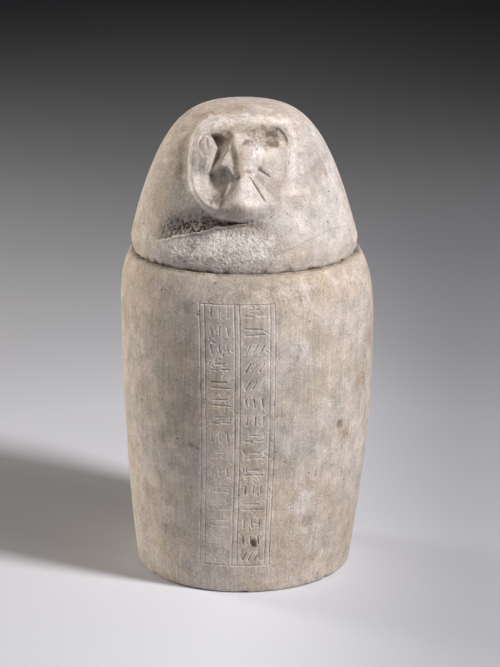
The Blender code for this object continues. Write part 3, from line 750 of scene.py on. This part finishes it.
def beak_form(a, b):
    """The upper bill: flat on its left, soft on its right, with a rounded ridge and a broken tip."""
    middle = along(b, RIDGE_LINE)
    to_left = (middle - a) / (middle - along(b, FLANK_EDGE))
    to_right = (a - middle) / 0.55
    soft = 1.6 * smooth((b - 0.38) / 0.25)
    left = 1.0 - 0.40 * np.clip(to_left, 0.0, 1.0)
    left = left * smooth((1.06 + 0.5 * soft - to_left) / (0.16 + soft))
    right = (1.0 - 0.70 * np.clip(to_right, 0.0, 1.0)) * smooth((1.4 - to_right) / 0.9)
    roof = BEAK_RELIEF * np.where(a < middle, left, right)
    from_crest = a - middle - 0.05
    off_crest = from_crest / np.where(from_crest < 0.0, 0.13, 0.27)
    ridge = RIDGE_RELIEF * np.sqrt(np.clip(1.0 - off_crest**2, 0.0, 1.0)) * smooth((0.66 - b) / 0.40)
    end = smooth((b - along(a, BILL_END)) / (0.06 + 0.08 * smooth((a - 0.02) / 0.15)))
    return (roof * smooth((0.86 - b) / 0.26) + ridge) * end


def lower_bill_form(a, b):
    """The lower bill: a tongue whose left side falls away to the lip, cut off along its right edge."""
    down = np.clip((-0.16 - b) / 0.60, 0.0, 1.2)
    crest = 0.05
    to_right = (a - crest) / (0.17 + 0.40 * down)
    to_left = (crest - a) / (0.09 + 0.34 * down)
    right = (1.0 - 0.35 * np.clip(to_right, 0.0, 1.0) ** 2) * smooth((1.5 - to_right) / 0.5)
    left = 1.0 - np.clip(to_left, 0.0, 1.0) ** 1.8
    ends = smooth((-0.05 - b) / 0.05) * smooth((b + 0.95) / 0.30)
    return LOWER_BILL_RELIEF * np.where(a > crest, right, left) * ends


def eye_form(a, b):
    """The eye that is left: a leaf with a corner on its right, its ball, lids and tapering tear."""
    right = smooth((along(b, EYE_EDGE) - a) / 0.05)
    tall = np.where(b > 0.425, 0.205, 0.205 + 0.17 * smooth((-0.52 - a) / 0.12))
    oval = np.hypot(np.maximum(a + 0.655, 0.25 * (a + 0.655)) / 0.140, (b - 0.425) / tall)
    ball = np.hypot((a + 0.660) / 0.110, (b - 0.465) / 0.165)
    soft = 0.20 + 0.80 * np.maximum(smooth((-0.66 - a) / 0.08), smooth((0.32 - b) / 0.20))
    plate = right * smooth((1.0 + 0.5 * soft - oval) / soft)
    blend = 0.16 + 0.5 * smooth((-0.55 - a) / 0.25)
    tear = right * smooth((b - 0.04) / blend + 0.5) * smooth((0.75 - b) / 0.20)
    lid = 0.36 * bell((ball - 1.05) / 0.24) * smooth((b - 0.6 * a - 0.85) / 0.15)
    slit = 0.18 * bell(segment_distance(a, b, (-0.640, 0.56), (-0.625, 0.40)) / 0.050)
    under = 0.12 * bell(segment_distance(a, b, (-0.700, 0.275), (-0.570, 0.250)) / 0.035)
    raised = np.maximum(plate + 0.25 * np.clip(1.0 - ball**2, 0.0, 1.0), 0.40 * tear)
    return EYE_RELIEF * (raised - lid - slit - under)


def sunk_form(a, b):
    """What is cut in: the socket, the lost eye, both cheeks, the gape and the lower bill's edge."""
    from_eye = smooth((a - along(b, EYE_EDGE)) / 0.09)
    from_brow = smooth((along(a, BROW_UNDER) - b) / (0.07 + 0.25 * smooth((a + 0.275) / 0.10)))
    from_flank = smooth((along(b, FLANK_EDGE) - a) / 0.13)
    socket = SOCKET_DEPTH * from_eye * from_brow * from_flank * smooth((b + 0.22) / 0.48)
    lost = smooth((1.0 - np.hypot((a - 0.60) / 0.44, (b - 0.63) / 0.27)) / 0.45)
    lost = LOST_EYE_DEPTH * (0.7 * lost + 0.6 * bell(np.hypot((a - 0.55) / 0.20, (b - 0.63) / 0.20)))
    from_lip = along(b, LIP_LINE) - a
    wide = smooth((-0.50 - a) / 0.20)
    upright = smooth((0.35 * wide - b) / (0.17 + 0.8 * wide)) * smooth((b + 0.95) / 0.45)
    hollow = 1.4 * np.sin(0.5 * math.pi * np.clip(from_lip / 0.30, 0.0, 1.0)) * upright
    hollow = hollow * smooth((0.97 - face_reach(a, b)) / 0.48)
    lip = 0.05 * bell(from_lip / 0.07) * smooth((b + 0.66) / 0.15) * smooth((0.02 - b) / 0.08)
    right = 0.75 * smooth((0.97 - a) / 0.55) * smooth((a - 0.05) / 0.25) * smooth((0.30 - b) / 0.35)
    right = right * smooth((b + 0.90) / 0.35)
    gape = bell(segment_distance(a, b, (-0.56, -0.11), (-0.25, 0.01)) / 0.06)
    gape = gape + 0.8 * bell(segment_distance(a, b, (0.37, 0.00), (0.55, -0.12)) / 0.036)
    bill_edge = bell(segment_distance(a, b, (0.195, -0.17), (0.48, -0.59)) / 0.042)
    return socket + lost + CHEEK_DEPTH * (hollow - lip + right) + GAPE_DEPTH * (gape + 1.8 * bill_edge)


def face_relief(across, up):
    """How far the face stands out of the dome, looking straight at its leaning plane."""
    a = (across - FACE_ACROSS) / FACE_HALF
    b = (up - FACE_MIDDLE) / FACE_HALF
    reach = face_reach(a, b)
    rounding = np.clip((1.0 - reach) * FACE_HALF / edge_width(a, b), 0.0, 1.0)
    inside = 1.0 - (1.0 - rounding) ** 1.8
    cheek = np.where(a < 0.0, LEFT_CHEEK_PROUD, RIGHT_CHEEK_PROUD) * np.minimum(a * a, 1.0)
    proud = FACE_PROUD + cheek + CHIN_PROUD * smooth((-0.1 - b) / 0.8) * smooth((0.95 - a) / 0.8)
    brow = BROW_RELIEF * bell((b - 0.86 + 0.12 * a * a) / 0.24)
    rim = 0.0008 * bell((reach - 0.93) / 0.09) * smooth(a / 0.3) * smooth((b + 0.3) / 0.3)
    trough = HEADCLOTH_TROUGH * bell((reach - 1.10) / 0.14) * smooth(-a / 0.4) * smooth((b + 0.5) / 0.4)
    deep = smooth((0.95 - reach) / 0.08)
    ground = proud + brow + rim - sunk_form(a, b) * deep
    raised = np.maximum(beak_form(a, b), lower_bill_form(a, b))
    return (ground + np.maximum(raised * deep, eye_form(a, b))) * inside - trough


def broken_parts(across, up, wander):
    """The recess under the chin and the spall below its ledge, from 0 to 1, and the drop below it."""
    aside = np.hypot(across - LEDGE_ACROSS, LEDGE_BEND) - LEDGE_BEND
    over = up - (FACE_MIDDLE - LEDGE_DROP - LEDGE_SLOPE * aside + wander)
    upright = smooth(over / LEDGE_EDGE + 0.5) * smooth((RECESS_HEIGHT - over) / RECESS_FADE)
    left = smooth((across - RECESS_LEFT) / RECESS_SIDE_FADE)
    right = smooth((RECESS_RIGHT - across) / RECESS_SIDE_FADE)
    below = smooth(0.33 - over / (SPALL_EDGE * (1.0 + 3.0 * smooth((across - 0.004) / 0.02))))
    side = np.minimum((across - SPALL_LEFT) / SPALL_LEFT_FADE, 1.0 - across / SPALL_RIGHT)
    return upright * left * right, below * np.clip(side, 0.0, 1.0), np.maximum(-over, 0.0)


LAPPET_LINE = ((0.0223, -0.0523), (0.0367, -0.0465), (0.0510, -0.0379), (0.0558, -0.0350),
               (0.0700, -0.0312))
LAPPET_HALF = 0.0009
LAPPET_DEPTH = 0.0007
LAPPET_REACH = 0.003
LEDGE_WANDER = 0.0012
FACE_WAVER = 0.00035
PITTING = 0.0016  # the recess's pits, on top of its own depth
SPALL_GRAIN = 0.0002
CHIPPED_INSET = 0.0010
CHIPPED_HEIGHT = 0.004

crown_share = np.linspace(0.0, 1.0, 3000)
dome_heights = LID_TOP - LID_HEIGHT * crown_share**2
dome = np.stack([lid_radius(dome_heights), dome_heights], axis=1)
low = dome_heights < LID_BOTTOM + LOW_HEIGHT
lid_line = evenly(dome[~low], LID_ROWS) + evenly(dome[low], LOW_ROWS)
plug_bottom = LID_BOTTOM - PLUG_DEPTH
lid_line += [(PLUG_RADIUS, LID_BOTTOM), (PLUG_RADIUS, plug_bottom + PLUG_CHAMFER)]
lid_line += [(PLUG_RADIUS - PLUG_CHAMFER, plug_bottom), (0.0, plug_bottom)]
lid_form = turned(lid_line, LID_SEGMENTS)


def up_the_face(x, y, z):
    """Height along the face's leaning plane."""
    return z * math.cos(FACE_LEAN) + y * math.sin(FACE_LEAN)


def on_front(m):
    """Whether a place needs the finer net: the face, the break under it and the lappet's line."""
    up = up_the_face(m.x, m.y, m.z) - FACE_MIDDLE
    face = abs(m.x) < FINE_FACE_HALF and up < FINE_FACE_TOP
    flaked = FINE_BREAK_LEFT < m.x < FINE_BREAK_RIGHT and up < FINE_BREAK_TOP
    from_lappet = min(segment_distance(m.x, up, *ends) for ends in zip(LAPPET_LINE, LAPPET_LINE[1:]))
    wanted = face or flaked or from_lappet < LAPPET_REACH
    return wanted and m.y < FINE_Y and m.z > LID_BOTTOM + FINE_ABOVE_EDGE


refine(lid_form, FINE_CUTS, faces_where(lid_form, on_front))
places = places_of(lid_form)
x, y, z = places.T
up = up_the_face(x, y, z)
on_dome = z > LID_BOTTOM - WELD
facing = smooth(-y / 0.020) * smooth((z - LID_BOTTOM - 0.001) / 0.006) * on_dome
straight = np.stack([x, np.zeros(len(x)), np.zeros(len(x))], axis=1)
wander = LEDGE_WANDER * noisy(straight, 120.0, 3.0)
recess, spall, drop = broken_parts(x, up, wander)
from_face = face_reach((x - FACE_ACROSS) / FACE_HALF, (up - FACE_MIDDLE) / FACE_HALF)
recess = recess * smooth((from_face - 0.94) / 0.10)
near_face = facing * (np.abs(x) < 0.045) > 0.0
waver = np.zeros((2, len(places)))
for row, offset in enumerate((2.0, 12.0)):
    waver[row, near_face] = FACE_WAVER * noisy(places[near_face], 95.0, offset)
rough_at = (recess + spall) * facing > 0.01
rough = np.zeros(len(places))
holes = np.zeros(len(places))
rough[rough_at] = noisy(places[rough_at], 640.0, 1.0, 3)
holes[rough_at] = smooth((noisy(places[rough_at], 560.0, 6.0, 3) - 0.10) / 0.30)
broken = recess * (RECESS_DEPTH * (1.0 + 0.22 * rough) + PITTING * holes)
rise = np.maximum(z - LID_BOTTOM, 0.0) * math.cos(FACE_LEAN)
leaning = rise / np.maximum(rise + drop, WELD)
flaked = smooth(spall / 0.3)
broken += spall * (SPALL_DEPTH * leaning) + flaked * (SPALL_GRAIN * rough + SPALL_GRAIN * holes)
at_edge = on_dome & (z < LID_BOTTOM + CHIPPED_HEIGHT)
chipped = np.zeros(len(places))
chipped[at_edge] = smooth((noisy(places[at_edge], 150.0, 13.0, 4) + 0.05) / 0.5)
chipped[at_edge] *= bell((z[at_edge] - LID_BOTTOM) / CHIPPED_HEIGHT)
lappet = np.zeros(len(places))
for start, end in zip(LAPPET_LINE, LAPPET_LINE[1:]):
    from_line = segment_distance(x, up - FACE_MIDDLE, start, end)
    lappet = np.maximum(lappet, groove(from_line, LAPPET_HALF, LAPPET_DEPTH))
out = (face_relief(x + waver[0], up + waver[1]) - broken - lappet) * facing
inset = 1.0 - CHIPPED_INSET * chipped / np.maximum(np.hypot(x, y), WELD)
x, y = x * inset, y * inset
places[:, 0] = x + axis_x(z)
places[:, 1] = y - out * math.cos(FACE_LEAN)
places[:, 2] = z + out * math.sin(FACE_LEAN)
move_to(lid_form, places)
bmesh.ops.recalc_face_normals(lid_form, faces=lid_form.faces)


# The stains on the lid, and the painted shade and highlights among them, each given by its place
# across and up from the face's middle, its half width and height, all in millimetres, and its strength.

# Brown stains, with painted shade among them: the spots under the chin (4, -28) and beside the beak's
# top (-5.5, 20) are painted shade, and those over the lost eye's hollow (17, 20), (11, 22) and (18, 23)
# are partly stain and partly painted shade.
LID_BROWN_AND_SHADE = (
    (-23, 33, 9, 4, 0.7), (-3, 41, 6, 3.5, 0.7), (27, 38, 9, 4.5, 0.8), (36, 30, 6, 8, 0.6),
    (-34, 8, 4, 20, 0.6), (3, 5, 3.5, 10, 0.7), (4, -28, 10, 6, 0.6), (17, 20, 12, 8, 0.9),
    (11, 22, 8, 6, 0.8), (-46, -12, 11, 24, 0.45), (-5.5, 20, 3, 5, 0.7), (47, 2, 5, 9, 0.45),
    (34, -18, 5, 3, 0.45), (1, 25, 5, 4, 0.5), (-42, -2, 6, 16, 0.5), (18, 23, 14, 6, 0.8),
    (6, 6, 3, 9, 0.5),
)
# Pale rubbed patches, with painted highlights among them: on the face's left and right rims (-27, 0)
# and (33, 4), on the beak's flanks (-8.5, 8) and (12, 8) and on the lower bill's lit side (7, -14) and
# (12, -17). The four patches on the break below the ledge are its pale fresh stone, partly painted
# light where it faces up to the lamp.
LID_PALE_AND_HIGHLIGHTS = (
    (-18, 26, 10, 5.5, 1.0), (2, 31, 27, 3.2, 0.9), (-27, 0, 4, 22, 0.9), (33, 4, 1.6, 16, 0.7),
    (12, 8, 5, 9, 0.8), (7, -14, 5, 7, 0.5), (40, -30, 12, 8, 0.3), (-8.5, 8, 3, 6, 0.5),
    (-10, -46, 22, 10, 1.0), (8, -48, 14, 9, 0.8), (-36, -46, 14, 10, 1.0), (-30, -38, 16, 6, 1.0),
    (12, -17, 7, 8, 0.5),
)
# Dark smudges, with painted shade among them: in the left cheek's hollow beside the lip (-10.2, -13),
# under the left brow and beside the beak's top (-8, 22) and (-15.5, 19), and on the right cheek (20,
# -12); those over the lost eye's hollow (15, 20), (18, 19) and (28, 22) are partly smudge and partly
# painted shade.
LID_DARK_AND_SHADE = (
    (15, 20, 10, 7, 0.8), (28, 22, 4, 6, 0.5), (18, 19, 6, 5, 0.9), (44, 5, 7, 18, 0.5),
    (20, -12, 7, 8, 0.35), (28, 3, 3, 10, 0.2), (-10.2, -13, 6, 11, 0.95), (-37, -2, 4.5, 12, 0.35),
    (-8, 22, 5, 4, 0.6), (-15.5, 19, 3, 7, 0.7), (36.5, 10, 1.5, 2.5, 0.7), (36, -19.5, 2.2, 1.0, 0.8),
    (14, -9, 3.5, 6, 0.5), (42, -48, 14, 8, 0.12),
)
ROUGH_SPOTS = ((20, 21, 12, 8, 0.8), (-44, -12, 15, 34, 0.5), (-20, 38, 20, 6, 0.35))


def face_spots(spot_list, across, up, ragged):
    """How strongly each place is covered by the listed spots, with ragged edges."""
    cover = np.zeros(len(across))
    for right, rise, half_width, half_height, strength in spot_list:
        aside = (across * 1000 - right) / half_width
        reach = np.hypot(aside, (up * 1000 - rise) / half_height) + 0.8 * ragged
        cover = np.maximum(cover, strength * smooth((1.3 - reach) / 0.8))
    return cover


ragged = noisy(places, 170.0, 9.0, 5)
brown, pale, dark, rough_spots = [face_spots(listed, x, up - FACE_MIDDLE, ragged)
                                  for listed in (LID_BROWN_AND_SHADE, LID_PALE_AND_HIGHLIGHTS, LID_DARK_AND_SHADE, ROUGH_SPOTS)]
no_cuts = np.zeros(len(places))
# Brown earth in the pits of the recess and the spall, with painted shade across the whole recess under
# the chin.
earth_and_recess_shade = np.clip(facing * (recess * (0.1 + 0.8 * holes) + 0.25 * flaked * holes), 0, 1)
roughened = np.clip(facing * np.maximum(recess, 0.45 * flaked) + rough_spots, 0, 1)
# painted shade along the seam at the lid's lower edge, darker where it is chipped
seam_shade = on_dome * bell((z - LID_BOTTOM) / SEAM_SHADE) * (0.9 + 0.5 * chipped)
lid_marks = {
    "wear": (no_cuts, earth_and_recess_shade, roughened),
    "stains_and_painted_light": (brown * facing, pale * facing, np.maximum(dark * facing, seam_shade)),
}
lid = finished("lid_stone", lid_form, lid_marks)
lid.data.materials.append(stone(
    "lid limestone", pale=(0.65, 0.60, 0.56, 1), warm=(0.58, 0.49, 0.40, 1),
    grey=(0.54, 0.51, 0.48, 1), rosy=(0.68, 0.60, 0.565, 1), earth=(0.34, 0.245, 0.17, 1),
    tooling=0.3, bump=0.7))
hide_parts("lid")
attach(lid, "root")


# The floor: a wide sheet of pale grey board that darkens away from the jar and towards the right,
# with the jar's shadow painted on it behind the jar. It stands in for the ground and isn't part of
# the object.

FLOOR_TONES = ((0.0, 0.92), (0.26, 0.93), (0.34, 0.93), (0.53, 0.77), (0.88, 0.57), (1.32, 0.43),
               (1.88, 0.35), (2.63, 0.235))  # distance from the jar and the board's tone there
NEAR_REACH = (0.30, 1.40)  # where the near floor gives way to the far floor
FAR_REACH = (0.95, 2.10)
NEAR_DIMMING = (-0.02, 0.16, 0.42)  # where each dims towards the right, and by how much
FAR_DIMMING = (-0.20, 0.32, 0.34)
SHADOW_WAY = (0.883, -0.469)  # towards the main lamp; the jar's shadow lies the other way
SHADOW_SIDES = (0.035, 0.085)
SHADOW_START = (0.03, 0.09)
# how much darker the board is painted in the jar's shadow
PAINTED_SHADOW_DIMMING = 0.13
FLOOR_ROUGHNESS = 0.9
FLOOR_RADIUS = 7.0
FLOOR_SEGMENTS = 96


def floor_dimming(tree, place, distance):
    """The share of its tone the board keeps: less towards the right, and less again in the jar's
    painted shadow.
    """
    x, y = node(tree, "ShaderNodeSeparateXYZ", {"Vector": place}).outputs[:2]
    near = maths(tree, "SUBTRACT", 1.0, ramp(tree, distance, *NEAR_REACH))
    far = ramp(tree, distance, *FAR_REACH)
    dimmed = 1.0
    for (left, right, share), weight in ((NEAR_DIMMING, near), (FAR_DIMMING, far)):
        lost = maths(tree, "MULTIPLY", ramp(tree, x, left, right), share)
        dimmed = maths(tree, "SUBTRACT", dimmed, maths(tree, "MULTIPLY", lost, weight))
    way_x, way_y = SHADOW_WAY
    beside = maths(tree, "MULTIPLY_ADD", y, way_x, maths(tree, "MULTIPLY", x, -way_y))
    behind = maths(tree, "MULTIPLY_ADD", y, -way_y, maths(tree, "MULTIPLY", x, -way_x))
    beside = maths(tree, "ABSOLUTE", beside)
    shaded = maths(tree, "SUBTRACT", 1.0, ramp(tree, beside, *SHADOW_SIDES))
    shaded = maths(tree, "MULTIPLY", shaded, ramp(tree, behind, *SHADOW_START))
    return maths(tree, "SUBTRACT", dimmed, maths(tree, "MULTIPLY", shaded, PAINTED_SHADOW_DIMMING))


def floor_board():
    """Matt board whose tone follows the distance from the jar, with the jar's shadow painted on it."""
    material = bpy.data.materials.new("floor board")
    material.use_nodes = True
    tree = material.node_tree
    shader = tree.nodes["Principled BSDF"]
    place = node(tree, "ShaderNodeTexCoord").outputs["Object"]
    distance = node(tree, "ShaderNodeVectorMath", {0: place}, operation="LENGTH").outputs["Value"]
    furthest = FLOOR_TONES[-1][0]
    reach = maths(tree, "DIVIDE", distance, furthest, clamp=True)
    tones = node(tree, "ShaderNodeValToRGB", {"Fac": reach})
    stops = tones.color_ramp.elements
    while len(stops) < len(FLOOR_TONES):
        stops.new(0.5)
    for stop, (away, _) in zip(stops, FLOOR_TONES):
        stop.position = away / furthest
    for stop, (_, tone) in zip(stops, FLOOR_TONES):
        stop.color = (tone, tone * 1.02, tone * 1.08, 1.0)
    dimmed = floor_dimming(tree, place, distance)
    dimming = node(tree, "ShaderNodeCombineColor", {"Red": dimmed, "Green": dimmed, "Blue": dimmed})
    colour = blend_colour(tree, 1.0, tones.outputs["Color"], dimming.outputs[0], "MULTIPLY")
    tree.links.new(colour, shader.inputs["Base Color"])
    shader.inputs["Roughness"].default_value = FLOOR_ROUGHNESS
    shader.inputs["Specular IOR Level"].default_value = 0.0
    return material


floor_form = bmesh.new()
bmesh.ops.create_circle(floor_form, cap_ends=True, radius=FLOOR_RADIUS, segments=FLOOR_SEGMENTS)
floor_mesh = bpy.data.meshes.new("floor")
floor_form.to_mesh(floor_mesh)
floor_form.free()
floor_mesh.materials.append(floor_board())
floor = bpy.data.objects.new("floor", floor_mesh)
bpy.context.scene.collection.objects.link(floor)


# The camera and the light: a small strong lamp on the right, a wide low one behind on the left, a
# faint one in front, and one above on the left that lights only the stone and not the floor.

CAMERA_PLACE = (0.1047, -1.4733, 0.5635)
CAMERA_TURN = math.radians(4.0)
CAMERA_TILT = math.radians(15.64)
CAMERA_LENS = 129.86
SENSOR_WIDTH = 36.0
LAMPS = (  # round from the front and up, in degrees, then distance, width, power and colour
    ("key", 62.0, 37.0, 1.3, 0.24, 16.9, (1.0, 0.97, 0.98)),
    ("left", -114.0, 5.0, 1.8, 0.6, 24.5, (1.0, 0.93, 0.84)),
    ("front", 10.0, 26.0, 1.6, 1.0, 0.7, (0.95, 0.98, 1.0)),
    ("upper left", -64.0, 66.0, 1.5, 1.0, 7.5, (1.0, 0.91, 0.80)),
)
STONE_LAMP = "upper left"
LAMPS_AIM = Vector((0, 0, 0.15))
STUDIO_TONE = (0.30, 0.31, 0.33, 1.0)
STUDIO_STRENGTH = 0.10

camera_data = bpy.data.cameras.new("camera")
camera_data.lens = CAMERA_LENS
camera_data.sensor_width = SENSOR_WIDTH
camera = bpy.data.objects.new("camera", camera_data)
bpy.context.scene.collection.objects.link(camera)
camera.location = CAMERA_PLACE
look = Vector((-math.sin(CAMERA_TURN) * math.cos(CAMERA_TILT),
               math.cos(CAMERA_TURN) * math.cos(CAMERA_TILT), -math.sin(CAMERA_TILT)))
camera.rotation_euler = look.to_track_quat("-Z", "Y").to_euler()
bpy.context.scene.camera = camera

stone_pieces = bpy.data.collections.new("stone pieces")
for piece in (jar, lid):
    stone_pieces.objects.link(piece)
for name, azimuth, elevation, distance, size, power, colour in LAMPS:
    lamp_data = bpy.data.lights.new(name, "AREA")
    lamp_data.shape = "DISK"
    lamp_data.size = size
    lamp_data.energy = power
    lamp_data.color = colour
    lamp = bpy.data.objects.new(name, lamp_data)
    bpy.context.scene.collection.objects.link(lamp)
    side, rise = math.radians(azimuth), math.radians(elevation)
    away = Vector((math.sin(side) * math.cos(rise), -math.cos(side) * math.cos(rise), math.sin(rise)))
    lamp.location = away * distance + LAMPS_AIM
    lamp.rotation_euler = (-away).to_track_quat("-Z", "Y").to_euler()
    if name == STONE_LAMP:
        lamp.light_linking.receiver_collection = stone_pieces
world = bpy.data.worlds.new("studio")
bpy.context.scene.world = world
world.use_nodes = True
backdrop = world.node_tree.nodes["Background"]
backdrop.inputs["Color"].default_value = STUDIO_TONE
backdrop.inputs["Strength"].default_value = STUDIO_STRENGTH
bpy.context.scene.view_settings.view_transform = "Standard"
